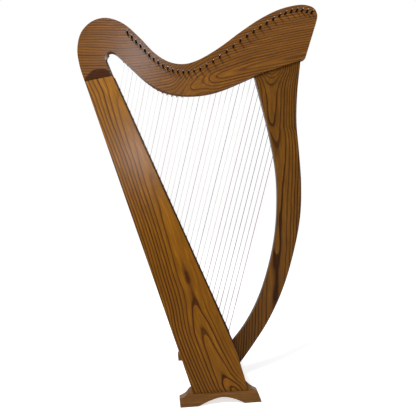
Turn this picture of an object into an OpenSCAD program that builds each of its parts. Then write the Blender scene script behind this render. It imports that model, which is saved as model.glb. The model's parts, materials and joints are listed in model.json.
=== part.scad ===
// Lever harp with 34 strings: a flared wooden soundbox on two feet, an S-curved neck,
// a bowed pillar, and a sharping lever under every bridge pin.
// X runs towards the pillar, Y away from the tuning-key side, Z up.
// The strings lie in the plane Y = 0, and the floor is Z = 0.

/* [Soundbox] */
// Outer half width of the soundbox at the feet
box_half_bottom = 183; // [170:1:183]
// Outer half width of the soundbox under the neck
box_half_top = 34; // [33:1:38]
// Thickness of each side panel
side_t = 9; // [7:1:10]
// Thickness of the soundboard
board_t = 3; // [2.5:0.5:4]
// Thickness of the back panel
back_t = 5; // [4:1:7]
// Radius of the lowest sound hole
hole_r = 40; // [30:1:42]

/* [Neck and pillar] */
// Thickness of the neck
neck_t = 24; // [22:1:24]
// Thickness of the pillar
pillar_t = 22; // [20:1:25]
// Distance of the neck and pillar from the string plane
neck_clear = 12; // [12:1:13]

/* [Strings] */
// Distance between string holes along the soundboard
hole_pitch = 26.57; // [26:0.01:26.6]
// Lean of the lowest string from vertical, in degrees
bass_lean = 16; // [15.5:0.1:16.2]
// How much more upright the highest string stands, in degrees
treble_turn = 5; // [4:0.5:6]
// Radius of the highest string
treble_r = 0.3; // [0.25:0.05:0.4]
// Radius of the lowest string
bass_r = 0.85; // [0.7:0.05:0.9]

/* [Tuning pins and levers] */
// Radius of a tuning pin
pin_r = 3.2; // [2.8:0.1:3.2]
// How far a tuning pin stands out on the key side
pin_out = 22; // [16:1:24]
// Reach of a lever's handle from its pivot
lever_reach = 12.5; // [10:0.5:12.5]

/* [Feet] */
// Thickness of each foot
foot_t = 24; // [20:1:28]
// Outer half width over both feet
foot_half = 188; // [188:1:190]

/* [Hidden] */
$fn = 48;
strings = 34;
octave = 7;

function two_digits(i) = i < 10 ? str("0", i) : str(i);
function lever_name(i) = str("lever_", two_digits(i));
LEVERS = [for (i = [1 : strings]) lever_name(i)];
BODY = [
    "near_side_panel", "far_side_panel", "soundboard", "soundboard_trims", "back_panel", "back_braces",
    "corner_liners", "inner_string_rib", "outer_string_rib", "string_eyelets", "top_block", "base_block",
    "base_board", "near_foot", "far_foot", "neck", "shoulder_block", "pillar", "pillar_bolt", "neck_dowels",
    "tuning_pins", "bridge_pins", "lever_plates", "c_strings", "f_strings", "plain_strings"
];

ash = [0.62, 0.42, 0.20];
brown = [0.50, 0.34, 0.18];
dark = [0.30, 0.16, 0.08];
spruce = [0.80, 0.64, 0.42];
brass = [0.78, 0.62, 0.30];
steel = [0.70, 0.70, 0.72];
blued = [0.16, 0.15, 0.16];

// Side view: the soundboard leans back, and the back panel leans less
board_lean = 22.53;
board_x = 128.2;
back_lean = 18.15;
back_x = -51.1;
seat_z = 35;
board_end_s = 153.7;
toe_x = 98;
flare = (box_half_bottom - box_half_top) / 953;
flare_angle = atan(flare);
flare_top_z = 1040;

// The joint between the soundbox and the neck
joint = [-372.3, 979.2];
joint_end = [-283.5, 998.7];
joint_angle = atan2(joint_end[1] - joint[1], joint_end[0] - joint[0]);

// Layers across the harp
neck_far = -neck_clear;
neck_near = neck_far - neck_t;
pillar_far = neck_far + 5;
pillar_near = pillar_far - pillar_t;
hinge_y = neck_far + 1;

// String holes and string ends, in the soundboard's own directions
first_hole_s = 166;
rib_outer_t = 2;
rib_inner_t = 4;
rib_top_n = board_t + rib_outer_t;
mouth_n = rib_top_n + 1.2;
knot_n = -rib_inner_t - 2.2;
knot_r = 2.2;
bend_swell = 0.04;

// Fits: each metal pin is this much smaller than its hole
pin_fit = 0.03;
running_fit = 0.05;
bridge_r = 1.75;
bridge_depth = 10;
bridge_tip = 2;
pivot_r = 1.5;
screw_r = 1.1;
hub_r = 2.8;
lever_offset = 5;
lever_gap = 0.35;
lever_t = 3;
lever_w = 4;

// ---- Curves ----
function slope_at(p, i) =
    i == 0 ? p[1] - p[0] :
    i == len(p) - 1 ? p[i] - p[i - 1] :
    (p[i + 1] - p[i - 1]) / 2;
function blend(a, b, ta, tb, t) =
    (2 * t ^ 3 - 3 * t ^ 2 + 1) * a + (t ^ 3 - 2 * t ^ 2 + t) * ta
    + (3 * t ^ 2 - 2 * t ^ 3) * b + (t ^ 3 - t ^ 2) * tb;
// A smooth curve through the points p, with n steps between neighbours
function curve(p, n) = concat(
    [for (i = [0 : len(p) - 2]) for (j = [0 : n - 1])
        blend(p[i], p[i + 1], slope_at(p, i), slope_at(p, i + 1), j / n)],
    [p[len(p) - 1]]
);
// The same curve's value at a place between 0 and its last point
function along(p, t) =
    let (i = min(floor(t), len(p) - 2))
    blend(p[i], p[i + 1], slope_at(p, i), slope_at(p, i + 1), t - i);

// ---- Placing ----
// A point on the side view from a height n over the soundboard and a distance s up it
function board_point(n, s) = [
    board_x + n * cos(board_lean) - s * sin(board_lean),
    n * sin(board_lean) + s * cos(board_lean)
];
function board_x_at(z) = board_x - z * tan(board_lean);
function back_x_at(z) = back_x - z * tan(back_lean);
function half_width(z) = box_half_bottom - (z - seat_z) * flare;
function polar(angle) = [cos(angle), sin(angle)];

// A side-view outline made solid between two places across the harp
module across(y_near, y_far) {
    translate([0, y_far, 0])
        rotate([90, 0, 0])
            linear_extrude(y_far - y_near)
                children();
}

// A round bar across the harp, at a point of the side view
module bar(p, r, y_near, y_far) {
    translate([p[0], y_far, p[1]])
        rotate([90, 0, 0])
            cylinder(r = r, h = y_far - y_near);
}

// Puts children, drawn up the soundboard with X out of it, in the soundboard's place
module on_board() {
    translate([board_x, 0, 0])
        rotate([0, -board_lean, 0])
            children();
}

// A tapered prism between the side panels: everything nearer the middle than the inset
module between_sides(inset) {
    low = 0;
    far = inset / cos(flare_angle);
    rotate([90, 0, 90])
        translate([0, 0, -450])
            linear_extrude(700)
                polygon([
                    [-half_width(low) + far, low],
                    [half_width(low) - far, low],
                    [half_width(flare_top_z) - far, flare_top_z],
                    [-half_width(flare_top_z) + far, flare_top_z]
                ]);
}

// A round stick between two points in the side view, at a place across the harp
module stick(a, b, r, y = 0) {
    d = b - a;
    translate([a[0], y, a[1]])
        rotate([0, atan2(d[0], d[1]), 0])
            cylinder(r = r, h = norm(d));
}

// ---- Strings: number 1 is the highest, and number 34 the lowest ----
function lean(i) = bass_lean - treble_turn * ((strings - i) / (strings - 1)) ^ 2;
function string_r(i) = treble_r + (bass_r - treble_r) * (i - 1) / (strings - 1);
function up(i) = [sin(lean(i)), cos(lean(i))];
function right(i) = [cos(lean(i)), -sin(lean(i))];
function hole_s(i) = first_hole_s + (strings - i) * hole_pitch;
function mouth(i) = board_point(mouth_n, hole_s(i));
// Height of the row of tuning pins, at every third string
pin_heights = [1131, 1089, 1048, 1018, 1006, 1016, 1056, 1108, 1153, 1192, 1210, 1205];
function pin_height(i) = along(pin_heights, (i - 1) / 3);
function tuning_pin(i) = mouth(i) + up(i) * (pin_height(i) - mouth(i)[1]) / cos(lean(i));
// The bridge pins hang below the tuning pins, further down for the short strings
function bridge_drop(i) = 41 + 21 * max(0, (16 - i) / 15) ^ 2;
function bridge(i) = tuning_pin(i) - up(i) * bridge_drop(i);
function sounding_length(i) = norm(bridge(i) - mouth(i));
// A lever stops its string a semitone higher, so it sits a fixed share down the string
semitone = 1 - 2 ^ (-1 / 12);
function pivot(i) = bridge(i) - up(i) * sounding_length(i) * semitone - right(i) * lever_offset;
function bridge_centre(i) = bridge(i) + right(i) * (bridge_r + string_r(i) + pin_fit);
function wound_point(i) = tuning_pin(i) + right(i) * (pin_r + string_r(i) + 0.15);
// C strings are red and F strings blue: A is number 1, and the scale runs down
function is_c(i) = i % octave == 6;
function is_f(i) = i % octave == 3;

// The string from its knot inside the box, over its bridge pin, to the turns on its tuning pin
module one_string(i) {
    r = string_r(i);
    knot = board_point(knot_n, hole_s(i));
    start = mouth(i);
    stick(knot, start, r);
    translate([knot[0], 0, knot[1]])
        sphere(r = knot_r);
    translate([start[0], 0, start[1]])
        sphere(r = r + bend_swell);
    stick(start, bridge(i), r);
    translate([bridge(i)[0], 0, bridge(i)[1]])
        sphere(r = r + bend_swell / 2);
    stick(bridge(i), wound_point(i), r);
    difference() {
        bar(tuning_pin(i), pin_r + 2 * r + 0.3, -2.5, r + 0.3);
        bar(tuning_pin(i), pin_r + pin_fit, -3.5, r + 1);
    }
}

module c_strings() {
    color("firebrick")
        for (i = [1 : strings])
            if (is_c(i)) one_string(i);
}

module f_strings() {
    color("midnightblue")
        for (i = [1 : strings])
            if (is_f(i)) one_string(i);
}

module plain_strings() {
    color("gainsboro")
        for (i = [1 : strings])
            if (!is_c(i) && !is_f(i)) one_string(i);
}

// ---- Soundbox ----
// The side panel's outline: its back edge, its foot, its toe below the soundboard, its front edge
module side_outline() {
    board_end = board_point(0, board_end_s);
    polygon([
        [back_x_at(seat_z), seat_z],
        [toe_x, seat_z],
        board_end,
        [board_x_at(joint_end[1]), joint_end[1]],
        joint
    ]);
}

// Everything above the joint, to be cut from the soundbox
module above_joint() {
    translate([joint[0], 0, joint[1]])
        rotate([0, -joint_angle, 0])
            translate([-60, -300, 0])
                cube([300, 600, 120]);
}

module side_panel() {
    difference() {
        intersection() {
            across(-box_half_bottom - 10, 0) side_outline();
            translate([0, -half_width(seat_z), seat_z])
                rotate([-flare_angle, 0, 0])
                    translate([-500, 0, -60])
                        cube([800, side_t, 1200]);
        }
        above_joint();
    }
}

module near_side_panel() {
    color(ash) side_panel();
}

module far_side_panel() {
    color(ash) mirror([0, 1, 0]) side_panel();
}

trim_w = 5;

// A flat strip along the front of the box, as wide as the box, less an inset
module board_blank(inset) {
    difference() {
        intersection() {
            on_board()
                translate([0, -250, board_end_s])
                    cube([board_t, 500, 1000]);
            between_sides(inset);
        }
        above_joint();
    }
}

module string_holes(r, n_low, n_high) {
    on_board()
        for (i = [1 : strings])
            translate([n_low, 0, hole_s(i)])
                rotate([0, 90, 0])
                    cylinder(r = r, h = n_high - n_low);
}

string_hole_r = 1.6;
eyelet_r = 2.2;

module soundboard() {
    color(spruce)
        difference() {
            board_blank(trim_w);
            string_holes(string_hole_r, -1, board_t + 1);
        }
}

module soundboard_trims() {
    color(dark)
        difference() {
            board_blank(0);
            between_sides(trim_w);
        }
}

rib_low_s = board_end_s + 7;
rib_high_s = first_hole_s + (strings - 1) * hole_pitch + 10;

module inner_string_rib() {
    color(spruce)
        difference() {
            on_board()
                translate([-rib_inner_t, -14, rib_low_s])
                    cube([rib_inner_t, 28, rib_high_s - rib_low_s - 2]);
            string_holes(string_hole_r, -rib_inner_t - 1, 1);
        }
}

module outer_string_rib() {
    color(brown)
        difference() {
            on_board()
                translate([board_t, -8, rib_low_s - 4])
                    cube([rib_outer_t, 16, rib_high_s - rib_low_s + 40]);
            string_holes(eyelet_r + pin_fit, board_t - 1, rib_top_n + 1);
            above_joint();
        }
}

module string_eyelets() {
    bore_r = 1.4;
    flange_r = 3.2;
    flange_t = 0.8;
    color(brass)
        on_board()
            for (i = [1 : strings])
                translate([board_t, 0, hole_s(i)])
                    rotate([0, 90, 0])
                        difference() {
                            union() {
                                cylinder(r = eyelet_r, h = rib_outer_t);
                                translate([0, 0, rib_outer_t])
                                    cylinder(r = flange_r, h = flange_t);
                            }
                            translate([0, 0, -1])
                                cylinder(r = bore_r, h = rib_outer_t + flange_t + 2);
                        }
}

// Sound holes up the middle of the back: height of the centre, and radius
sound_holes = [
    [210, hole_r],
    [390, hole_r - 5],
    [560, hole_r - 10],
    [715, hole_r - 15]
];
back_t_x = back_t / cos(back_lean);

module back_strip(x_low, x_high, z_low, z_high) {
    polygon([
        [back_x_at(z_low) + x_low, z_low],
        [back_x_at(z_low) + x_high, z_low],
        [back_x_at(z_high) + x_high, z_high],
        [back_x_at(z_high) + x_low, z_high]
    ]);
}

module back_panel() {
    color(ash)
        difference() {
            intersection() {
                across(-200, 200) back_strip(0, back_t_x, seat_z, 1010);
                between_sides(side_t);
            }
            above_joint();
            for (h = sound_holes)
                translate([back_x_at(h[0]), 0, h[0]])
                    rotate([0, 90 - back_lean, 0])
                        translate([0, 0, -20])
                            cylinder(r = h[1], h = 60, $fn = 96);
        }
}

liner_w = 10;

module liner_pair(inset) {
    difference() {
        intersection() {
            across(-200, 200) children();
            between_sides(inset);
        }
        between_sides(inset + liner_w);
    }
}

module corner_liners() {
    color(spruce) {
        liner_pair(side_t)
            polygon([
                board_point(-liner_w, board_end_s + 40),
                board_point(0, board_end_s + 40),
                board_point(0, 1035),
                board_point(-liner_w, 1035)
            ]);
        liner_pair(side_t)
            back_strip(back_t_x, back_t_x + liner_w, seat_z + 30, 930);
    }
}

module back_braces() {
    brace_h = 16;
    brace_t = 12;
    color(spruce)
        for (z = [120, 300, 475, 640, 780])
            intersection() {
                across(-200, 200) back_strip(back_t_x, back_t_x + brace_t, z, z + brace_h);
                between_sides(side_t + liner_w);
            }
}

dowel_r = 3.5;
dowel_spots = [[46, neck_far - 5], [40, 8]];

function on_joint(d) = joint + polar(joint_angle) * d;

module top_block() {
    block_h = 24;
    color(brown)
        difference() {
            intersection() {
                across(-200, 200)
                    polygon([
                        [back_x_at(940) + back_t_x, 940],
                        [board_x_at(980), 980],
                        [board_x_at(joint_end[1]), joint_end[1]],
                        [back_x_at(joint[1] + 1) + back_t_x, joint[1] + 1]
                    ]);
                between_sides(side_t);
                translate([joint[0], 0, joint[1]])
                    rotate([0, -joint_angle, 0])
                        translate([-60, -100, -block_h])
                            cube([200, 200, block_h]);
            }
            shoulder_dowels(dowel_r + pin_fit);
        }
}

// The pillar's end face, and the soundbox's front below the soundboard, lie on this line
board_end = board_point(0, board_end_s);
toe = [toe_x, seat_z];
bolt_start = toe + (board_end - toe) * 0.5;
bolt_angle = 26;
bolt_r = 4;

function toe_x_at(z) = toe_x + (board_end[0] - toe_x) * (z - seat_z) / (board_end[1] - seat_z);

// A bar along the bolt's own direction, from a to b along it
module bolt_bar(r, a, b) {
    stick(bolt_start + polar(bolt_angle) * a, bolt_start + polar(bolt_angle) * b, r,
        (pillar_near + pillar_far) / 2);
}

board_floor_t = 22;
block_depth = 52;

module base_block() {
    floor_z = seat_z + board_floor_t;
    color(brown)
        difference() {
            intersection() {
                across(-200, 200)
                    polygon([
                        [toe_x_at(floor_z), floor_z],
                        board_end,
                        board_point(0, rib_low_s - 1),
                        board_point(-block_depth, rib_low_s - 1),
                        [toe_x_at(floor_z) - block_depth, floor_z]
                    ]);
                between_sides(side_t);
            }
            bolt_bar(bolt_r + 0.3, -80, 1);
            bolt_bar(10, -80, -36);
        }
}

module base_board() {
    top_z = seat_z + board_floor_t;
    color(brown)
        intersection() {
            across(-200, 200)
                polygon([
                    [back_x_at(seat_z) + back_t_x, seat_z],
                    toe,
                    [toe_x_at(top_z), top_z],
                    [back_x_at(top_z) + back_t_x, top_z]
                ]);
            between_sides(side_t);
        }
}

// ---- Feet ----
module foot_outline() {
    difference() {
        polygon(concat(
            curve([[-49, 0], [-13, 15], [22, 22], [57, 14], [86, 0]], 6),
            [[135, 0]],
            curve([[124, 32], [104, 44], [86, 64]], 5),
            [[0, 64], [-60, 50]],
            curve([[-72, 48], [-86, 33], [-103, 25]], 5),
            [[-101, 0]]
        ));
        side_outline();
    }
}

module near_foot() {
    color(ash) across(-foot_half, -foot_half + foot_t) foot_outline();
}

module far_foot() {
    color(ash) across(foot_half - foot_t, foot_half) foot_outline();
}

// ---- Neck and pillar ----
neck_crown = [
    joint, [-386, 1027], [-391.9, 1080], [-379, 1133], [-344, 1169], [-298, 1180.5], [-246, 1163],
    [-196, 1119], [-150, 1070], [-104, 1041.5], [-55, 1035], [-5, 1050.5], [60, 1088.5], [128, 1138],
    [196, 1183], [258, 1214], [312, 1229.5], [350, 1232.5], [380, 1223], [392, 1199], [386, 1170]
];
// The neck's leg stops short of the soundboard, and the shoulder block behind it reaches the board
leg_setback = 7.5;
leg_end = joint_end - polar(joint_angle) * leg_setback;
block_top = [-308, 1064];
neck_tail = [346.5, 1054.5];
neck_seat = [172, 996.5];
neck_belly = [
    neck_seat, [124, 976], [76, 956.5], [24, 941.5], [-32, 935], [-86, 938], [-138, 953], [-184, 984],
    [-226, 1024], [-258, 1055], [-277, 1071], [-291, 1074], [-302, 1067], [-306.5, 1051], [-299.5, 1025],
    leg_end
];
scoop_r = 190;
scoop_centre = [-321.5, 965.5];
scoop_rim_r = 54.7;

module neck_outline() {
    polygon(concat(curve(neck_crown, 5), [neck_tail], curve(neck_belly, 5)));
}

// The hollow that blends the neck's face into the soundbox's side
module scoop() {
    translate([scoop_centre[0], neck_near - sqrt(scoop_r ^ 2 - scoop_rim_r ^ 2), scoop_centre[1]])
        sphere(r = scoop_r, $fn = 128);
}

module shoulder_dowels(r) {
    for (d = dowel_spots)
        stick(
            on_joint(d[0]) - polar(joint_angle + 90) * 18,
            on_joint(d[0]) + polar(joint_angle + 90) * 30,
            r, d[1]
        );
}

module pillar_dowels(r) {
    along_seat = (neck_tail - neck_seat) / norm(neck_tail - neck_seat);
    square_up = [-along_seat[1], along_seat[0]];
    for (d = [45, 120])
        stick(
            neck_seat + along_seat * d - square_up * 28,
            neck_seat + along_seat * d + square_up * 28,
            r, (neck_near + neck_far) / 2 + 3
        );
}

module neck() {
    color(brown)
        difference() {
            across(neck_near, neck_far) neck_outline();
            scoop();
            shoulder_dowels(dowel_r + pin_fit);
            pillar_dowels(dowel_r + pin_fit);
            for (i = [1 : strings]) {
                bar(tuning_pin(i), pin_r + pin_fit, neck_near - 1, neck_far + 1);
                bar(bridge_centre(i), bridge_r + pin_fit, neck_far - bridge_depth, neck_far + 1);
                bar(pivot(i), pivot_r + pin_fit, neck_far - bridge_depth, neck_far + 1);
                bar(plate_screw(i), screw_r + pin_fit, neck_far - bridge_depth, neck_far + 1);
            }
        }
}

module shoulder_block() {
    color(brown)
        difference() {
            across(neck_far, box_half_top)
                union() {
                    intersection() {
                        neck_outline();
                        translate([-345, 1000])
                            circle(r = 86, $fn = 96);
                    }
                    polygon([block_top, joint_end, leg_end, leg_end + [-18, 30]]);
                }
            // The far face slopes in towards the top
            translate([0, box_half_top, joint_end[1]])
                rotate([24, 0, 0])
                    translate([-500, 0, -100])
                        cube([400, 200, 300]);
            shoulder_dowels(dowel_r + pin_fit);
        }
}

pillar_front = [
    neck_seat + (neck_tail - neck_seat) * 0.925, [319.5, 945], [314, 845], [320, 742], [324, 640],
    [318, 535], [296, 428], [257, 305], [204.5, 197], [147, 113], [92.5, 44]
];
pillar_back = [
    [67, 112], [123, 181], [171, 266], [209, 373], [233, 481], [242, 592], [239, 692], [222, 800],
    [199, 903], neck_seat + (neck_tail - neck_seat) * 0.025
];

module pillar_outline() {
    difference() {
        polygon(concat(curve(pillar_front, 6), curve(pillar_back, 6)));
        side_outline();
    }
}

module pillar() {
    color(brown)
        difference() {
            across(pillar_near, pillar_far) pillar_outline();
            bolt_bar(bolt_r + pin_fit, -10, 46);
            pillar_dowels(dowel_r + pin_fit);
        }
}

module pillar_bolt() {
    color(steel) {
        bolt_bar(bolt_r, -44, 44);
        bolt_bar(7.5, -48, -41.5);
        bolt_bar(9.5, -41.5, -40);
    }
}

module neck_dowels() {
    color(spruce) {
        shoulder_dowels(dowel_r);
        pillar_dowels(dowel_r);
    }
}

// ---- Pins and levers ----
module tuning_pins() {
    square = 4.4;
    square_l = 11;
    color(blued)
        for (i = [1 : strings])
            let (p = tuning_pin(i)) {
                bar(p, pin_r, neck_near - pin_out + square_l, 4);
                translate([p[0] - square / 2, neck_near - pin_out, p[1] - square / 2])
                    cube([square, square_l, square]);
            }
}

module bridge_pins() {
    color(steel)
        for (i = [1 : strings])
            bar(bridge_centre(i), bridge_r, neck_far - bridge_depth + 1, bridge_tip);
}

function plate_screw(i) = pivot(i) + up(i) * 6 - right(i) * 2;

// A small plate screwed to the neck, with the screw that the lever turns on
module lever_plate(i) {
    screw_head_r = 1.9;
    head_y = hinge_y + 0.2 + lever_length + lever_t + 0.2;
    difference() {
        translate([pivot(i)[0], hinge_y, pivot(i)[1]])
            rotate([0, lean(i), 0])
                translate([-4.5, -1, -4.5])
                    cube([9, 1, 13]);
        bar(pivot(i), pivot_r + pin_fit, neck_far - 1, hinge_y + 1);
        bar(plate_screw(i), screw_r + pin_fit, neck_far - 1, hinge_y + 1);
    }
    bar(pivot(i), pivot_r, neck_far - bridge_depth + 1, head_y);
    bar(pivot(i), 2.6, head_y, head_y + 1.2);
    bar(plate_screw(i), screw_r, neck_far - bridge_depth + 1, hinge_y);
    bar(plate_screw(i), screw_head_r, hinge_y, hinge_y + 1);
}

module lever_plates() {
    color(steel)
        for (i = [1 : strings]) lever_plate(i);
}

// The hub runs from the plate to just past the string
lever_length = 14.2;

// At rest the handle hangs along the string and the cam points away from it
module lever(i) {
    cam_r = 1.6;
    cam_reach = lever_offset - string_r(i) - lever_gap;
    y0 = hinge_y + 0.2;
    y1 = y0 + lever_length;
    color("dimgray")
        translate([pivot(i)[0], 0, pivot(i)[1]])
            rotate([0, lean(i), 0])
                difference() {
                    union() {
                        bar([0, 0], hub_r, y0, y1);
                        rotate([0, -100, 0]) {
                            bar([cam_reach - cam_r, 0], cam_r, -2.5, 2.5);
                            translate([0, -2.5, -cam_r])
                                cube([cam_reach - cam_r, 5, 2 * cam_r]);
                        }
                        bar([0, 0], hub_r, y1, y1 + lever_t);
                        translate([-lever_w / 2, y1, -lever_reach + lever_w / 2])
                            cube([lever_w, lever_t, lever_reach - lever_w / 2]);
                        bar([0, -lever_reach + lever_w / 2], lever_w / 2, y1, y1 + lever_t);
                    }
                    bar([0, 0], pivot_r + running_fit, y0 - 1, y1 + lever_t + 1);
                }
}

near_side_panel();
far_side_panel();
soundboard();
soundboard_trims();
back_panel();
back_braces();
corner_liners();
inner_string_rib();
outer_string_rib();
string_eyelets();
top_block();
base_block();
base_board();
near_foot();
far_foot();
neck();
shoulder_block();
pillar();
pillar_bolt();
neck_dowels();
tuning_pins();
bridge_pins();
lever_plates();
c_strings();
f_strings();
plain_strings();
for (i = [1 : strings])
    lever(i);
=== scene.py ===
"""The looks of a 34-string lever harp: rounded and varnished wood, wound strings, turned pins and levers.

Lengths are in metres, in the harp's own frame: X towards the pillar, Y away from the tuning-key side,
Z up, with the strings in the plane Y = 0. MM turns a length in millimetres into metres.
"""
import json
import math
import random

import bmesh
import bpy
from mathutils import Matrix, Vector


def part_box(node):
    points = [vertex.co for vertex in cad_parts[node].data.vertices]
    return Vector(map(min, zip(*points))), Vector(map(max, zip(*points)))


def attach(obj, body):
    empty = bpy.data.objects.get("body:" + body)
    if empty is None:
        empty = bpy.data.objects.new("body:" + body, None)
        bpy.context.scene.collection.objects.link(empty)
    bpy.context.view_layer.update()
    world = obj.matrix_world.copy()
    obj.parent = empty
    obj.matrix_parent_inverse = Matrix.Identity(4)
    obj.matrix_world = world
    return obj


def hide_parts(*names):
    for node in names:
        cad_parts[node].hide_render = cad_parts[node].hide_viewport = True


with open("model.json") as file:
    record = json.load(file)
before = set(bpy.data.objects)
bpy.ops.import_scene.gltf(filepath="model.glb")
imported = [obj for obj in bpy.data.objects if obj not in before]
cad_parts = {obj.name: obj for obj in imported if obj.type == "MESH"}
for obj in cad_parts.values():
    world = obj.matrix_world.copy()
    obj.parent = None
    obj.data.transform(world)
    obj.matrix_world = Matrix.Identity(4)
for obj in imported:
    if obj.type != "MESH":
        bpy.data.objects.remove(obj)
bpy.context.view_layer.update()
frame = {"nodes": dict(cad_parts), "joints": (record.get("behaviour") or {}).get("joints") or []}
MM = 0.001
HARP = "harp"
NODES = frame["nodes"]
PIVOTS = [Vector(joint["pos_m"]) for joint in frame["joints"]]
STRINGS = len(PIVOTS)
OCTAVE = 7
FIRST_C = 6
FIRST_F = 3
FIRST_WOUND = 27
TREBLE_R = 0.3 * MM
BASS_R = 0.85 * MM
BOARD_LEAN = math.radians(22.53)
BOARD_X = 128.2 * MM
# Each side leans in from 183 mm off the strings' plane low down to 34 mm, 953 mm further up
FLARE = (183 - 34) / 953
HALF_WIDTH_AT_FLOOR = (183 + 35 * FLARE) * MM
PIN_R = 3.2 * MM
PIN_SQUARE_R = 3.1 * MM
BRIDGE_R = 1.75 * MM
BOARD_NORMAL = Vector((math.cos(BOARD_LEAN), 0, math.sin(BOARD_LEAN)))
EYELET_TOP = 1.4 * MM
KNOT_DEPTH = 11.2 * MM
PLAIN_TURNS = 2.6
WOUND_TURNS = 2.1
STEPS_PER_TURN = 18
FOOT_TOP = 36 * MM
UP_THE_BOARD = (-math.tan(BOARD_LEAN), 0, 1)
BOARD_FACE = (1, 0, 0.41)
SHARP_ANGLE = math.radians(40)
CUT_ACROSS = ("neck", "pillar")
STAND_ON_FEET = ("near_side_panel", "far_side_panel")


# ---------------------------------------------------------------- meshes

def new_piece(name, mesh, materials, body=HARP):
    """Puts a mesh in the scene as a piece that rides on a CAD body."""
    piece = bpy.data.objects.new(name, mesh)
    bpy.context.scene.collection.objects.link(piece)
    for material in materials:
        mesh.materials.append(material)
    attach(piece, body)
    return piece


def welded(node):
    """The CAD node's mesh with its split corners joined and its flat faces whole."""
    shape = bmesh.new()
    shape.from_mesh(NODES[node].data)
    bmesh.ops.remove_doubles(shape, verts=shape.verts, dist=0.002 * MM)
    bmesh.ops.dissolve_limit(shape, angle_limit=math.radians(0.3), verts=shape.verts, edges=shape.edges)
    return shape


def clean_mesh(shape, name):
    """A mesh of only the shape's corners and faces, shaded smooth up to the sharp angle."""
    shape.verts.index_update()
    corners = [v.co.copy() for v in shape.verts]
    faces = [[v.index for v in face.verts] for face in shape.faces]
    shape.free()
    mesh = bpy.data.meshes.new(name)
    mesh.from_pydata(corners, [], faces)
    mesh.shade_smooth()
    mesh.set_sharp_from_angle(angle=SHARP_ANGLE)
    return mesh


def stays_sharp(node, edge):
    """Corners across the neck and pillar are left sharp, and so are the sides' edges on the feet."""
    a, b = (vert.co for vert in edge.verts)
    if node in CUT_ACROSS:
        return abs((b - a).normalized().y) > 0.98
    if node in STAND_ON_FEET:
        return max(a.z, b.z) < FOOT_TOP
    return False


def rounded(node, width, material, segments=3, shortest=0.0, body=HARP):
    """A copy of a CAD node with its outer edges rounded over, in place of the node."""
    shape = welded(node)
    corners = math.radians(32)
    edges = [
        edge for edge in shape.edges
        if len(edge.link_faces) == 2
        and edge.calc_face_angle_signed(0) > corners
        and edge.calc_length() > shortest
        and not stays_sharp(node, edge)
    ]
    bmesh.ops.bevel(
        shape, geom=edges, offset=width, offset_type="OFFSET", segments=segments, profile=0.5,
        affect="EDGES", clamp_overlap=True,
    )
    piece = new_piece(node + "_finished", clean_mesh(shape, node), [material], body)
    weighted = piece.modifiers.new("even_shading", "WEIGHTED_NORMAL")
    weighted.keep_sharp = True
    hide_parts(node)
    return piece


def centres(node):
    """The middle of each separate solid in a CAD node, from the lowest X to the highest."""
    shape = bmesh.new()
    shape.from_mesh(NODES[node].data)
    bmesh.ops.remove_doubles(shape, verts=shape.verts, dist=0.002 * MM)
    unseen = set(shape.verts)
    found = []
    while unseen:
        island = [unseen.pop()]
        for vert in island:
            for edge in vert.link_edges:
                other = edge.other_vert(vert)
                if other in unseen:
                    unseen.remove(other)
                    island.append(other)
        low = Vector([min(v.co[k] for v in island) for k in range(3)])
        high = Vector([max(v.co[k] for v in island) for k in range(3)])
        found.append((low + high) / 2)
    shape.free()
    return sorted(found, key=lambda point: point.x)


class Builder:
    """Collects the corners and faces of many small solids into one mesh."""

    def __init__(self):
        self.corners = []
        self.faces = []
        self.slots = []

    def rings(self, rings, slot=0):
        """Joins rings of equal corner counts into a tube, closed at both ends."""
        first = len(self.corners)
        count = len(rings[0])
        for ring in rings:
            self.corners.extend(ring)
        for k in range(len(rings) - 1):
            a = first + k * count
            b = a + count
            for j in range(count):
                j2 = (j + 1) % count
                self.faces.append((a + j, a + j2, b + j2, b + j))
                self.slots.append(slot)
        self.faces.append(tuple(range(first + count - 1, first - 1, -1)))
        last = first + (len(rings) - 1) * count
        self.faces.append(tuple(range(last, last + count)))
        self.slots.extend([slot, slot])

    def mesh(self, name):
        mesh = bpy.data.meshes.new(name)
        mesh.from_pydata([tuple(c) for c in self.corners], [], self.faces)
        mesh.polygons.foreach_set("material_index", self.slots)
        mesh.shade_smooth()
        mesh.set_sharp_from_angle(angle=SHARP_ANGLE)
        return mesh


def tube_rings(path, radius, sides):
    """Rings along a path, carried from one point to the next without twisting."""
    rings = []
    side = None
    for k, point in enumerate(path):
        ahead = path[min(k + 1, len(path) - 1)]
        behind = path[max(k - 1, 0)]
        along = (ahead - behind).normalized()
        if side is None:
            side = along.orthogonal().normalized()
        side = (side - along * side.dot(along)).normalized()
        other = along.cross(side)
        rings.append([
            point + side * (radius * math.cos(a)) + other * (radius * math.sin(a))
            for a in (2 * math.pi * j / sides for j in range(sides))
        ])
    return rings


def turned_rings(centre, profile, sides, squareness=None, turn=0.0):
    """Rings about a line along Y through centre.

    profile holds (y, radius) pairs, and squareness(y) runs from 0 for round to 1 for square.
    """
    rings = []
    for y, r in profile:
        s = squareness(y) if squareness else 0.0
        ring = []
        for j in range(sides):
            a = 2 * math.pi * j / sides
            flat = math.cos(math.pi / 4) / max(abs(math.cos(a)), abs(math.sin(a)))
            reach = r * (1 - s + s * flat)
            ring.append(Vector((
                centre.x + reach * math.cos(a + turn), y, centre.z - reach * math.sin(a + turn)
            )))
        rings.append(ring)
    return rings


# ---------------------------------------------------------------- materials

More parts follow.
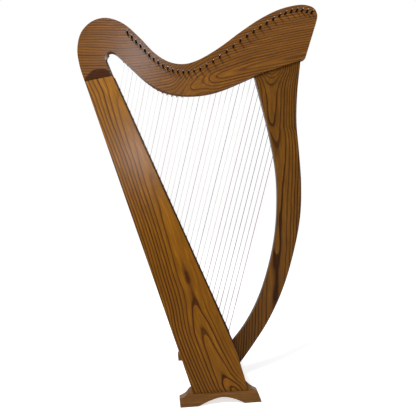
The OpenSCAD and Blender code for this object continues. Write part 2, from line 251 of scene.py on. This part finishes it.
class Shader:
    """A material's node tree, written as short calls that return sockets."""

    def __init__(self, name):
        self.material = bpy.data.materials.new(name)
        self.material.use_nodes = True
        self.tree = self.material.node_tree
        self.surface = self.tree.nodes["Principled BSDF"]
        self.place = self.node("ShaderNodeTexCoord").outputs["Object"]

    def node(self, kind, **settings):
        made = self.tree.nodes.new(kind)
        for key, value in settings.items():
            setattr(made, key, value)
        return made

    def feed(self, socket, value):
        if isinstance(value, bpy.types.NodeSocket):
            self.tree.links.new(value, socket)
        elif value is not None:
            socket.default_value = value

    def math(self, operation, *values, clamp=False):
        made = self.node("ShaderNodeMath", operation=operation, use_clamp=clamp)
        for socket, value in zip(made.inputs, values):
            self.feed(socket, value)
        return made.outputs[0]

    def dot(self, direction, origin):
        """How far each point lies from origin along direction."""
        made = self.node("ShaderNodeVectorMath", operation="DOT_PRODUCT")
        self.feed(made.inputs[0], self.place)
        made.inputs[1].default_value = direction
        return self.math("SUBTRACT", made.outputs["Value"], Vector(direction).dot(Vector(origin)))

    def join(self, x, y, z):
        made = self.node("ShaderNodeCombineXYZ")
        for socket, value in zip(made.inputs, (x, y, z)):
            self.feed(socket, value)
        return made.outputs[0]

    def noise(self, vector, scale, detail=2.0, roughness=0.5):
        made = self.node("ShaderNodeTexNoise")
        self.feed(made.inputs["Vector"], vector)
        made.inputs["Scale"].default_value = scale
        made.inputs["Detail"].default_value = detail
        made.inputs["Roughness"].default_value = roughness
        return made.outputs["Fac"]

    def spread(self, value, low, high, to_low=0.0, to_high=1.0):
        made = self.node("ShaderNodeMapRange", clamp=True)
        for socket, given in zip(made.inputs, (value, low, high, to_low, to_high)):
            self.feed(socket, given)
        return made.outputs[0]

    def curve(self, value, points):
        """A smooth curve through a few (input, output) points."""
        low, high = points[0][0], points[-1][0]
        bottom = min(y for _, y in points)
        top = max(y for _, y in points)
        reach = max(top - bottom, 1e-6)
        made = self.node("ShaderNodeFloatCurve")
        line = made.mapping.curves[0]
        for k, (x, y) in enumerate(points):
            at = ((x - low) / (high - low), (y - bottom) / reach)
            if k < 2:
                line.points[k].location = at
            else:
                line.points.new(*at)
        made.mapping.update()
        self.feed(made.inputs["Value"], self.spread(value, low, high))
        return self.math("MULTIPLY_ADD", made.outputs[0], reach, bottom)

    def ramp(self, value, stops):
        """Grey levels along a value: stops are (position, level)."""
        made = self.node("ShaderNodeValToRGB")
        band = made.color_ramp
        band.interpolation = "EASE"
        while len(band.elements) < len(stops):
            band.elements.new(0.5)
        for element, (position, level) in zip(band.elements, stops):
            element.position = position
            element.color = (level, level, level, 1)
        self.feed(made.inputs[0], value)
        return made.outputs["Color"]

    def mix(self, amount, a, b, blend="MIX"):
        made = self.node("ShaderNodeMix", data_type="RGBA", blend_type=blend)
        self.feed(made.inputs["Factor"], amount)
        for socket, colour in zip((made.inputs[6], made.inputs[7]), (a, b)):
            self.feed(socket, (*colour, 1) if isinstance(colour, tuple) else colour)
        return made.outputs[2]

    def bump(self, height, distance, strength=1.0):
        made = self.node("ShaderNodeBump")
        self.feed(made.inputs["Height"], height)
        made.inputs["Distance"].default_value = distance
        made.inputs["Strength"].default_value = strength
        self.feed(self.surface.inputs["Normal"], made.outputs[0])

    def set(self, **values):
        for key, value in values.items():
            self.feed(self.surface.inputs[key.replace("_", " ")], value)


def grained(s, u, v, w, along, across, detail=2.0, roughness=0.5):
    """Noise drawn out along the grain: along and across are its spots per metre."""
    spots = [s.math("MULTIPLY", distance, rate) for distance, rate in ((u, along), (v, across), (w, across))]
    return s.noise(s.join(*spots), 1.0, detail, roughness)


def wood(
    name, origin, along, face, light, dark, ring, depth, drift,
    wander=1.0, line=0.30, contrast=1.0, gloss=0.42, coat=0.9, shade_and_tint=None, quiet=None,
):
    """Sawn ash: a log's growth rings cut by the board.

    origin lies on the board's face at one end, along is the grain's direction and face the way
    the board faces. depth gives how many rings down the heart lies at each distance along the grain,
    and drift how far across the board it lies. shade_and_tint paints shade and tint into the colour,
    and quiet fades the ring lines.
    """
    s = Shader(name)
    along = Vector(along).normalized()
    face = Vector(face)
    face = (face - along * face.dot(along)).normalized()
    across = along.cross(face)
    u = s.dot(along, origin)
    v = s.dot(across, origin)
    w = s.dot(face, origin)
    slow = grained(s, u, v, w, 3.2, 9.0)
    quick = grained(s, u, v, w, 14.0, 45.0)
    calm = quiet(s, v) if quiet else 1.0
    v = s.math("SUBTRACT", v, s.curve(u, drift))
    w = s.math("SUBTRACT", s.math("MULTIPLY", s.curve(u, depth), ring), w)
    radius = s.math("SQRT", s.math("ADD", s.math("MULTIPLY", v, v), s.math("MULTIPLY", w, w)))
    rings = s.math("DIVIDE", radius, ring)
    rings = s.math("MULTIPLY_ADD", s.math("SUBTRACT", slow, 0.5), 2.6 * wander, rings)
    rings = s.math("MULTIPLY_ADD", s.math("SUBTRACT", quick, 0.5), 0.5 * wander, rings)
    rings = s.math("ADD", rings, 40.0)
    part = s.math("FRACT", rings)
    # lines keep their width where the saw meets the rings at a shallow angle
    slant = s.math("DIVIDE", s.math("ABSOLUTE", v), s.math("MAXIMUM", radius, 0.1 * MM))
    part = s.math("DIVIDE", part, s.math("MAXIMUM", slant, 0.45), clamp=True)
    year = s.node("ShaderNodeTexWhiteNoise", noise_dimensions="1D")
    s.feed(year.inputs["W"], s.math("FLOOR", rings))
    early = s.ramp(part, [
        (0.0, 0.0), (0.05, 0.9), (0.6 * line, 1.0), (line, 0.4), (1.5 * line, 0.08), (1.0, 0.0),
    ])
    early = s.math("MULTIPLY", early, s.spread(year.outputs["Value"], 0, 1, 0.60, 1.0))
    early = s.math("MULTIPLY", early, calm)
    fibre = grained(s, u, v, w, 45.0, 1300.0, 3.0, 0.6)
    pores = grained(s, u, v, w, 110.0, 2600.0, 1.0)
    pores = s.math("MULTIPLY", s.spread(pores, 0.56, 0.66), s.math("MULTIPLY_ADD", early, 0.85, 0.15))
    broad = grained(s, u, v, w, 2.2, 14.0)
    streak = grained(s, u, v, w, 16.0, 260.0)
    band = grained(s, u, v, w, 9.0, 130.0)
    colour = s.mix(s.spread(broad, 0.32, 0.68, 0.0, 0.42), light, tuple(c * 0.62 for c in light))
    colour = s.mix(s.spread(band, 0.50, 0.68, 0.0, 0.55), colour, tuple(c * 1.45 for c in light))
    colour = s.mix(s.spread(streak, 0.36, 0.62, 0.0, 0.50), colour, tuple(c * 0.5 for c in light))
    colour = s.mix(s.spread(fibre, 0.35, 0.7, 0.0, 0.30), colour, tuple(c * 0.5 for c in light))
    colour = s.mix(s.math("MULTIPLY", early, 0.9 * contrast, clamp=True), colour, dark)
    colour = s.mix(s.math("MULTIPLY", pores, 0.55), colour, tuple(c * 0.45 for c in dark))
    # painted shade and tint from the hook are mixed into the colour here
    if shade_and_tint is not None:
        colour = shade_and_tint(s, colour, u, v)
    rough = s.math("MULTIPLY_ADD", early, 0.14, gloss)
    rough = s.math("MULTIPLY_ADD", s.math("SUBTRACT", broad, 0.5), 0.16, rough)
    s.set(Base_Color=colour, Roughness=rough, Coat_Weight=coat, Coat_Roughness=0.22, Coat_IOR=1.5)
    s.set(IOR=1.5, Specular_IOR_Level=0.04)
    sunk = s.math("ADD", s.math("MULTIPLY", early, 0.5), pores)
    height = s.math("SUBTRACT", s.math("MULTIPLY", fibre, 0.25), sunk)
    s.bump(height, 0.12 * MM, 0.6)
    return s.material


def metal(name, colour, roughness, tip=None):
    """Drawn or turned metal, finely scratched and a little dulled."""
    s = Shader(name)
    fine = s.noise(s.place, 900.0, 3.0, 0.6)
    cloud = s.noise(s.place, 90.0, 3.0, 0.6)
    shade = s.mix(s.spread(cloud, 0.3, 0.7, 0.0, 0.5), colour, tuple(c * 0.6 for c in colour))
    rough = s.math("MULTIPLY_ADD", fine, 0.12, roughness)
    if tip is not None:
        shade, rough = tip(s, shade, rough)
    s.set(Base_Color=shade, Metallic=1.0, Roughness=rough)
    s.bump(fine, 0.02 * MM, 0.5)
    return s.material


def bright_tips(y_worn):
    """Key ends worn to bright steel where the tuning key grips them."""
    def worn(s, shade, rough):
        separate = s.node("ShaderNodeSeparateXYZ")
        s.feed(separate.inputs[0], s.place)
        wear = s.spread(separate.outputs["Y"], y_worn, y_worn + 2.5 * MM, 1.0, 0.0)
        patchy = s.math("MULTIPLY", wear, s.spread(s.noise(s.place, 400.0), 0.3, 0.5, 0.6, 1.0))
        return s.mix(patchy, shade, (0.80, 0.79, 0.78)), s.math("MULTIPLY_ADD", wear, -0.12, rough)
    return worn


def nylon(name, colour, roughness=0.28, winding=0.0):
    """A drawn nylon string, or one wound with fine wire."""
    s = Shader(name)
    haze = s.noise(s.place, 55.0, 3.0)
    shade = s.mix(s.spread(haze, 0.3, 0.7, 0.0, 0.35), colour, tuple(c * 0.72 for c in colour))
    fine = s.noise(s.place, 1500.0, 2.0)
    s.set(Base_Color=shade, Roughness=s.math("MULTIPLY_ADD", fine, 0.15, roughness), IOR=1.53)
    if winding:
        separate = s.node("ShaderNodeSeparateXYZ")
        s.feed(separate.inputs[0], s.place)
        turns = s.math("SINE", s.math("MULTIPLY", separate.outputs["Z"], 2 * math.pi / winding))
        s.bump(turns, 0.10 * MM, 0.8)
    else:
        s.bump(fine, 0.02 * MM, 0.4)
    return s.material


def lever_finish():
    """Satin black, rubbed to grey where fingers work the handles."""
    s = Shader("lever_black")
    grain = s.noise(s.place, 700.0, 3.0)
    rub = s.noise(s.place, 160.0, 3.0, 0.6)
    separate = s.node("ShaderNodeSeparateXYZ")
    s.feed(separate.inputs[0], s.place)
    handle = s.spread(separate.outputs["Y"], 3.6 * MM, 6.0 * MM)
    worn = s.math("MULTIPLY", handle, s.spread(rub, 0.5, 0.7, 0.0, 0.45))
    shade = s.mix(worn, (0.022, 0.022, 0.024), (0.16, 0.15, 0.14))
    s.set(Base_Color=shade, Roughness=s.math("MULTIPLY_ADD", grain, 0.25, 0.30), IOR=1.5)
    s.bump(grain, 0.03 * MM, 0.5)
    return s.material


def floor_finish():
    """A pale matt studio table, lit a little from beneath."""
    s = Shader("floor_pale")
    cloud = s.noise(s.place, 3.0, 4.0)
    shade = s.mix(s.spread(cloud, 0.3, 0.7), (0.90, 0.90, 0.90), (0.86, 0.86, 0.86))
    s.set(Base_Color=shade, Roughness=0.9, Emission_Color=(1, 1, 1, 1), Emission_Strength=0.64)
    s.set(Specular_IOR_Level=0.1)
    s.bump(s.noise(s.place, 400.0), 0.1 * MM, 0.2)
    return s.material


# Colours of the varnished ash
GOLD = (0.288, 0.113, 0.003)
GOLD_LINE = (0.060, 0.017, 0.001)
NECK = (0.222, 0.086, 0.010)
NECK_LINE = (0.062, 0.021, 0.006)
PILLAR = (0.160, 0.062, 0.005)
PILLAR_LINE = (0.034, 0.010, 0.002)
FOOT = (0.190, 0.078, 0.014)
FOOT_LINE = (0.055, 0.018, 0.003)
# painted shade: the dark colour given to the hollow over the joint of neck and soundbox
HOLLOW_SHADE_COLOUR = (0.040, 0.012, 0.004)
SPRUCE = (0.52, 0.34, 0.16)
SPRUCE_LINE = (0.30, 0.16, 0.06)

# The hollow over the joint of neck and soundbox
HOLLOW_PLACE = (-0.3215, -0.036, 0.9655)
HOLLOW_R = 55.2 * MM


def hollow_painted_shade(s, colour, u, v):
    """Painted shade where the neck's face is hollowed out over the soundbox: the hollow's colour is darkened
    to stand for the shade that falls in it.
    """
    reach = s.node("ShaderNodeVectorMath", operation="DISTANCE")
    s.feed(reach.inputs[0], s.join(s.dot((1, 0, 0), HOLLOW_PLACE), 0.0, s.dot((0, 0, 1), HOLLOW_PLACE)))
    inside = s.spread(reach.outputs["Value"], HOLLOW_R, HOLLOW_R + 0.4 * MM, 1.0, 0.0)
    sunk = s.spread(s.dot((0, 1, 0), HOLLOW_PLACE), 0.1 * MM, 0.4 * MM)
    # painted shade: the colour inside the hollow is pulled most of the way to the dark shade colour
    shade_amount = s.math("MULTIPLY", s.math("MULTIPLY", inside, sunk), 0.85)
    return s.mix(shade_amount, colour, HOLLOW_SHADE_COLOUR)


def shade_and_redder_below(s, colour, u, v):
    """Painted shade and a redder tone towards the feet: the sides' colour is darkened lower down to stand for
    the light falling off there, and turns redder.
    """
    # painted shade: the colour is multiplied darker and redder from mid-height down to the feet
    depth = s.spread(u, 0.45, 1.05, 0.50, 0.0)
    return s.mix(depth, colour, (0.56, 0.47, 0.30), "MULTIPLY")


def side_panel_wood(name, side):
    """A soundbox side: close straight grain at the back, and a flame figure towards the soundboard."""
    def plain_by_the_board(s, v):
        return s.spread(s.math("MULTIPLY", v, side), 14 * MM, 36 * MM, 0.22, 1.0)

    return wood(
        name,
        origin=(BOARD_X, side * HALF_WIDTH_AT_FLOOR, 0),
        along=(-math.tan(BOARD_LEAN), -side * FLARE, 1),
        face=(0, side, FLARE),
        light=GOLD, dark=GOLD_LINE, ring=7.8 * MM,
        depth=[
            (0.00, 1.0), (0.06, 1.6), (0.09, 2.4), (0.12, 3.1), (0.252, 4.02), (0.335, 4.95), (0.378, 5.03),
            (0.415, 4.85), (0.47, 5.1), (0.60, 5.6), (0.71, 6.05), (0.80, 6.6), (0.91, 7.1), (1.05, 8.4),
        ],
        drift=[
            (0.00, side * 45 * MM), (0.06, side * 53 * MM), (0.12, side * 65 * MM), (0.25, side * 65 * MM),
            (0.35, side * 51 * MM), (0.43, side * 40 * MM), (0.70, side * 15 * MM), (1.05, side * 6 * MM),
        ],
        wander=0.46, line=0.52, contrast=1.3, shade_and_tint=shade_and_redder_below, quiet=plain_by_the_board,
    )


# ---------------------------------------------------------------- finished wood

PANEL_NEAR = side_panel_wood("ash_panel_near", -1)
PANEL_FAR = side_panel_wood("ash_panel_far", 1)
BACK = wood(
    "ash_back", origin=(-51.1 * MM, 0, 0), along=(-0.3278, 0, 1), face=(-1, 0, -0.3278),
    light=GOLD, dark=GOLD_LINE, ring=6.5 * MM,
    depth=[(0.0, 3.0), (0.3, 4.4), (0.6, 4.0), (1.0, 7.0)],
    drift=[(0.0, 20 * MM), (0.5, -10 * MM), (1.0, 15 * MM)], wander=0.6,
)
BOARD = wood(
    "soundboard_wood", origin=(BOARD_X, 0.4, 0), along=UP_THE_BOARD, face=BOARD_FACE,
    light=(0.34, 0.16, 0.04), dark=(0.15, 0.06, 0.014), ring=1.6 * MM,
    depth=[(0.0, 30.0), (1.0, 30.0)], drift=[(0.0, 0.0), (1.0, 0.0)], wander=0.35, contrast=0.5,
)
NECK_WOOD = wood(
    "ash_neck", origin=(-0.40, -0.036, 0.930), along=(1, 0, 0.16), face=(0, -1, 0),
    light=NECK, dark=NECK_LINE, ring=8.0 * MM,
    depth=[
        (0.00, 5.0), (0.25, 5.5), (0.33, 6.0), (0.368, 5.0), (0.406, 4.0),
        (0.426, 3.0), (0.449, 2.0), (0.52, 1.0), (0.62, 0.5), (0.80, 0.3),
    ],
    drift=[
        (0.00, 40 * MM), (0.10, 56 * MM), (0.22, 74 * MM), (0.29, 74 * MM), (0.33, 55 * MM), (0.37, 27 * MM),
        (0.41, 14 * MM), (0.45, 8 * MM), (0.61, -8 * MM), (0.80, -18 * MM),
    ],
    wander=0.8, contrast=1.1, line=0.52, shade_and_tint=hollow_painted_shade,
)
PILLAR_WOOD = wood(
    "ash_pillar", origin=(0.22, -0.029, 0.10), along=(0.05, 0, 1), face=(0, -1, 0),
    light=PILLAR, dark=PILLAR_LINE, ring=6.5 * MM,
    depth=[
        (0.00, 10.4), (0.30, 10.0), (0.60, 9.4), (0.71, 8.9), (0.742, 8.2),
        (0.80, 7.8), (0.85, 7.4), (0.92, 3.6), (0.98, 0.4),
    ],
    drift=[
        (0.00, -10 * MM), (0.59, -5 * MM), (0.71, -16 * MM), (0.742, -28 * MM), (0.876, -34 * MM),
        (0.95, -36 * MM),
    ],
    wander=0.5, contrast=1.2, line=0.54,
)
FOOT_WOOD = wood(
    "ash_foot", origin=(-0.10, -0.188, 0.0), along=(1, 0, 0.03), face=(0, -1, 0),
    light=FOOT, dark=FOOT_LINE, ring=3.4 * MM,
    depth=[(0.0, 8.0), (0.25, 7.0)], drift=[(0.0, -50 * MM), (0.25, -42 * MM)], wander=0.6, contrast=0.7,
)
RIB_WOOD = wood(
    "rib_wood", origin=(BOARD_X, 0, 0), along=UP_THE_BOARD, face=BOARD_FACE,
    light=(0.11, 0.040, 0.012), dark=(0.034, 0.012, 0.004), ring=2.4 * MM,
    depth=[(0.0, 9.0), (1.0, 9.0)], drift=[(0.0, 0.0), (1.0, 0.0)], wander=0.5,
)
TRIM_WOOD = wood(
    "dark_trim", origin=(BOARD_X, 0, 0), along=UP_THE_BOARD, face=BOARD_FACE,
    light=(0.050, 0.017, 0.007), dark=(0.017, 0.006, 0.003), ring=2.0 * MM,
    depth=[(0.0, 9.0), (1.0, 9.0)], drift=[(0.0, 0.0), (1.0, 0.0)], wander=0.5,
)
SPRUCE_WOOD = wood(
    "bare_spruce", origin=(0, 0, 0), along=(-0.35, 0, 1), face=(0, 1, 0),
    light=SPRUCE, dark=SPRUCE_LINE, ring=2.0 * MM,
    depth=[(0.0, 20.0), (1.0, 22.0)], drift=[(0.0, 0.0), (1.0, 0.0)],
    wander=0.5, contrast=0.6, gloss=0.6, coat=0.0,
)
BLOCK_WOOD = wood(
    "block_wood", origin=(0, 0, 0), along=(0, 1, 0), face=(1, 0, 0),
    light=(0.30, 0.145, 0.045), dark=(0.09, 0.032, 0.008), ring=3.0 * MM,
    depth=[(-0.2, 15.0), (0.2, 16.0)], drift=[(-0.2, 0.0), (0.2, 10 * MM)],
    wander=0.6, gloss=0.45, coat=0.3,
)

WOODEN = [
    ("near_side_panel", 2.5, PANEL_NEAR), ("far_side_panel", 2.5, PANEL_FAR), ("back_panel", 1.5, BACK),
    ("soundboard", 0.5, BOARD), ("soundboard_trims", 0.8, TRIM_WOOD), ("outer_string_rib", 1.2, RIB_WOOD),
    ("inner_string_rib", 0.8, SPRUCE_WOOD), ("back_braces", 1.5, SPRUCE_WOOD),
    ("corner_liners", 1.0, SPRUCE_WOOD),
    ("top_block", 1.0, BLOCK_WOOD), ("base_block", 1.0, BLOCK_WOOD), ("base_board", 1.5, BLOCK_WOOD),
    ("near_foot", 3.0, FOOT_WOOD), ("far_foot", 3.0, FOOT_WOOD), ("neck", 3.5, NECK_WOOD),
    ("shoulder_block", 2.0, NECK_WOOD), ("pillar", 3.0, PILLAR_WOOD), ("neck_dowels", 0.5, SPRUCE_WOOD),
]
for node, width, material in WOODEN:
    rounded(node, width * MM, material, segments=4, shortest=1.4 * MM)

# ---------------------------------------------------------------- pins

STEEL = metal("bright_steel", (0.62, 0.61, 0.60), 0.22)
BRASS = metal("brass", (0.78, 0.56, 0.24), 0.20)
KEY_END_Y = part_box("tuning_pins")[0].y
BLUED = metal("blued_steel", (0.045, 0.040, 0.045), 0.30, tip=bright_tips(KEY_END_Y))

PINS = centres("tuning_pins")
BRIDGES = centres("bridge_pins")
MOUTHS = centres("string_eyelets")


def tuning_pins():
    """Turned pins with a square key end and a domed string end."""
    builder = Builder()
    chance = random.Random(34)
    for pin in PINS:
        y0 = KEY_END_Y
        y1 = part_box("tuning_pins")[1].y
        profile = [
            (y0, 0.8 * MM), (y0 + 0.15 * MM, 1.5 * MM), (y0 + 0.55 * MM, 2.3 * MM), (y0 + 1.3 * MM, 2.9 * MM),
            (y0 + 2.0 * MM, PIN_SQUARE_R), (y0 + 6 * MM, PIN_SQUARE_R),
            (y0 + 10.4 * MM, PIN_SQUARE_R), (y0 + 11.4 * MM, PIN_R), (y0 + 12 * MM, PIN_R), (-14 * MM, PIN_R),
            (-9 * MM, PIN_R), (-4 * MM, PIN_R * 0.97), (0, PIN_R * 0.97), (y1 - 1.2 * MM, PIN_R),
            (y1 - 0.4 * MM, PIN_R * 0.86), (y1, PIN_R * 0.55),
        ]
        builder.rings(turned_rings(
            pin, profile, 24, lambda y: 1.0 if y < y0 + 10.6 * MM else 0.0, chance.uniform(0, math.pi / 2)
        ))
    piece = new_piece("tuning_pins_finished", builder.mesh("tuning_pins"), [BLUED])
    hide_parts("tuning_pins")


def bridge_pins():
    """Steel pins with a groove for the string and a domed end."""
    builder = Builder()
    low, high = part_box("bridge_pins")
    r = BRIDGE_R
    for pin in BRIDGES:
        profile = [
            (low.y, r * 0.8), (low.y + 0.4 * MM, r), (-12 * MM, r), (-11.6 * MM, r * 1.12),
            (-3 * MM, r * 1.12), (-1.6 * MM, r * 1.1), (-1.0 * MM, r), (0, r * 0.985), (0.9 * MM, r),
            (1.3 * MM, r * 1.1),
            (high.y - 0.2 * MM, r * 1.02), (high.y, r * 0.6),
        ]
        builder.rings(turned_rings(pin, profile, 20))
    piece = new_piece("bridge_pins_finished", builder.mesh("bridge_pins"), [STEEL])
    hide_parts("bridge_pins")


# ---------------------------------------------------------------- strings

def string_radius(i):
    return TREBLE_R + (BASS_R - TREBLE_R) * i / (STRINGS - 1)


def circle_path(centre, radius, start, end, steps):
    """Points round a pin in the string plane. Angles run from +X towards +Z."""
    return [
        Vector((centre.x + radius * math.cos(a), 0, centre.z + radius * math.sin(a)))
        for a in (start + (end - start) * k / steps for k in range(steps + 1))
    ]


def angle_to(a, b):
    return math.atan2(b.z - a.z, b.x - a.x)


def string_path(i):
    """From the knot under the soundboard, past the bridge pin, and round the tuning pin."""
    r = string_radius(i)
    eyelet, bridge, pin = (Vector((p.x, 0, p.z)) for p in (MOUTHS[i], BRIDGES[i], PINS[i]))
    mouth = eyelet + BOARD_NORMAL * EYELET_TOP
    knot = eyelet - BOARD_NORMAL * KNOT_DEPTH
    bridge_reach = BRIDGE_R + r
    pin_reach = PIN_R + r
    # the string touches the bridge pin on its treble side
    rise = angle_to(mouth, bridge)
    gap = (bridge - mouth).length
    lower = rise + math.pi / 2 + math.asin(bridge_reach / gap)
    # and crosses to the tuning pin's bass side
    link = angle_to(bridge, pin)
    span = (pin - bridge).length
    cross = math.asin((bridge_reach + pin_reach) / span)
    upper = link + math.pi / 2 - cross
    arrive = upper - math.pi
    touch = bridge + bridge_reach * Vector((math.cos(lower), 0, math.sin(lower)))
    along = (touch - mouth).normalized()
    into = (knot - mouth).normalized()
    path = [knot, knot - into * 2 * MM, mouth + into * 1.5 * MM, mouth + into * 0.6 * MM]
    path += [mouth + along * 0.6 * MM]
    path += [mouth.lerp(touch, k / 24) for k in range(1, 24)]
    path += circle_path(bridge, bridge_reach, lower, upper, 4)
    turns = PLAIN_TURNS if i < FIRST_WOUND else WOUND_TURNS
    steps = int(turns * STEPS_PER_TURN)
    pitch = 2 * r * 1.04
    end = arrive + turns * 2 * math.pi
    for k in range(steps + 1):
        a = arrive + (end - arrive) * k / steps
        y = -pitch * max(0.0, turns * k / steps)
        path.append(Vector((pin.x + pin_reach * math.cos(a), y, pin.z + pin_reach * math.sin(a))))
    return path, -into, knot


def knot_rings(knot, along, r, builder, slot):
    """A small overhand knot under the soundboard."""
    side = Vector((along.z, 0, -along.x))
    loop = [
        knot + side * (1.5 * MM * math.cos(a)) + Vector((0, 1, 0)) * (1.5 * MM * math.sin(a))
        + along * (0.5 * MM * math.sin(2 * a))
        for a in (2 * math.pi * k / 16 for k in range(17))
    ]
    builder.rings(tube_rings(loop, max(r, 0.55 * MM), 8), slot)


def strung(name, members, materials, node):
    builder = Builder()
    for i in members:
        r = string_radius(i)
        path, along, knot = string_path(i)
        which = 1 if (len(materials) > 1 and i >= FIRST_WOUND) else 0
        builder.rings(tube_rings(path, r, 10), which)
        knot_rings(knot, along, r, builder, which)
    piece = new_piece(name, builder.mesh(node), materials)
    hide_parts(node)


RED = nylon("nylon_red", (0.30, 0.026, 0.080))
BLUE = nylon("nylon_blue", (0.018, 0.022, 0.060))
CLEAR = nylon("nylon_clear", (0.60, 0.59, 0.54))
RED_WOUND = nylon("wound_red", (0.24, 0.024, 0.070), 0.35, 0.5 * MM)
BLUE_WOUND = nylon("wound_blue", (0.020, 0.023, 0.060), 0.35, 0.5 * MM)
CLEAR_WOUND = nylon("wound_grey", (0.22, 0.21, 0.20), 0.32, 0.5 * MM)

tuning_pins()
bridge_pins()
c_members = [i for i in range(STRINGS) if (i + 1) % OCTAVE == FIRST_C]
f_members = [i for i in range(STRINGS) if (i + 1) % OCTAVE == FIRST_F]
plain_members = [i for i in range(STRINGS) if i not in c_members and i not in f_members]
strung("c_strings_finished", c_members, [RED, RED_WOUND], "c_strings")
strung("f_strings_finished", f_members, [BLUE, BLUE_WOUND], "f_strings")
strung("plain_strings_finished", plain_members, [CLEAR, CLEAR_WOUND], "plain_strings")

# ---------------------------------------------------------------- small metal and levers

rounded("string_eyelets", 0.25 * MM, BRASS, 2)
rounded("lever_plates", 0.25 * MM, STEEL, 2)
rounded("pillar_bolt", 0.6 * MM, STEEL, 3)
LEVER = lever_finish()
for i in range(STRINGS):
    lever = "lever_%02d" % (i + 1)
    rounded(lever, 0.45 * MM, LEVER, 3, body=lever)

# ---------------------------------------------------------------- stage

AIM = (-0.05, 0.0, 0.65)
KEY_PLACE = (-1.14, -2.04, 2.92)
KEY_WATTS = 82
GLOSS_PLACE = (-0.43, -3.0, 2.16)
GLOSS_WATTS = 4.2
CAMERA_PLACE = (-0.109, -1.331, 0.572)
SENSOR = 36
FOCAL_LENGTH = SENSOR * 400 / 416


def area_light(name, place, target, width, height, power, colour):
    data = bpy.data.lights.new(name, "AREA")
    data.shape = "RECTANGLE"
    data.size = width
    data.size_y = height
    data.energy = power
    data.color = colour
    light = bpy.data.objects.new(name, data)
    light.location = place
    light.rotation_euler = (Vector(target) - Vector(place)).to_track_quat("-Z", "Y").to_euler()
    bpy.context.scene.collection.objects.link(light)
    return light


def sky(tree, colour, strength):
    made = tree.nodes.new("ShaderNodeBackground")
    made.inputs["Color"].default_value = (*colour, 1)
    made.inputs["Strength"].default_value = strength
    return made.outputs[0]


def choose(tree, amount, a, b):
    made = tree.nodes.new("ShaderNodeMixShader")
    for socket, value in zip(made.inputs, (amount, a, b)):
        tree.links.new(value, socket)
    return made.outputs[0]


def towards(tree, *limits):
    """1 for directions past every (axis, low, high) limit, falling to 0 short of it."""
    place = tree.nodes.new("ShaderNodeTexCoord")
    split = tree.nodes.new("ShaderNodeSeparateXYZ")
    tree.links.new(place.outputs["Generated"], split.inputs[0])
    result = None
    for axis, low, high in limits:
        edge = tree.nodes.new("ShaderNodeMapRange")
        edge.inputs["From Min"].default_value = low
        edge.inputs["From Max"].default_value = high
        tree.links.new(split.outputs[axis], edge.inputs["Value"])
        if result is None:
            result = edge.outputs[0]
            continue
        both = tree.nodes.new("ShaderNodeMath")
        both.operation = "MULTIPLY"
        tree.links.new(result, both.inputs[0])
        tree.links.new(edge.outputs[0], both.inputs[1])
        result = both.outputs[0]
    return result


def studio():
    """A white room with a main lamp high on the left, and a small lamp that shows only in reflections.

    The world differs by ray: white to the camera, grey as light, and dark in reflections except for
    a pale ceiling and a pale sheet behind the harp.
    """
    scene = bpy.context.scene
    world = bpy.data.worlds.new("studio")
    scene.world = world
    world.use_nodes = True
    tree = world.node_tree
    ray = tree.nodes.new("ShaderNodeLightPath")
    around = sky(tree, (0.97, 0.98, 1.0), 0.42)
    dark_room = sky(tree, (0.80, 0.88, 1.0), 0.05)
    ceiling = sky(tree, (0.84, 0.90, 1.0), 1.1)
    sheet = sky(tree, (0.95, 0.97, 1.0), 0.8)
    mirrored = choose(tree, towards(tree, ("Z", 0.35, 0.80)), dark_room, ceiling)
    mirrored = choose(tree, towards(tree, ("Y", 0.15, 0.60), ("Z", -0.10, 0.15)), mirrored, sheet)
    white = sky(tree, (1.0, 1.0, 1.0), 1.0)
    light = choose(tree, ray.outputs["Is Glossy Ray"], around, mirrored)
    light = choose(tree, ray.outputs["Is Camera Ray"], light, white)
    tree.links.new(light, tree.nodes["World Output"].inputs["Surface"])
    key = area_light("key", KEY_PLACE, AIM, 0.34, 0.44, KEY_WATTS, (1.0, 0.97, 0.92))
    key.visible_glossy = False
    gloss = area_light("gloss", GLOSS_PLACE, AIM, 0.30, 0.40, GLOSS_WATTS, (0.80, 0.88, 1.0))
    gloss.visible_diffuse = False
    bpy.ops.mesh.primitive_grid_add(x_subdivisions=2, y_subdivisions=2, size=16, location=(0, 0, 0))
    floor = bpy.context.object
    floor.name = "studio_floor"
    floor.visible_glossy = False
    floor.data.materials.append(floor_finish())
    scene.view_settings.view_transform = "Standard"


def camera():
    data = bpy.data.cameras.new("view")
    data.sensor_width = SENSOR
    data.lens = FOCAL_LENGTH
    seen = bpy.data.objects.new("view", data)
    turn = Matrix.Rotation(math.radians(-5.16), 4, "Z")
    pitch = Matrix.Rotation(math.radians(-0.21), 4, "X")
    roll = Matrix.Rotation(math.radians(1.64), 4, "Y")
    upright = Matrix.Rotation(math.radians(90), 4, "X")
    seen.matrix_world = Matrix.Translation(CAMERA_PLACE) @ turn @ pitch @ roll @ upright
    bpy.context.scene.collection.objects.link(seen)
    bpy.context.scene.camera = seen


camera()
studio()
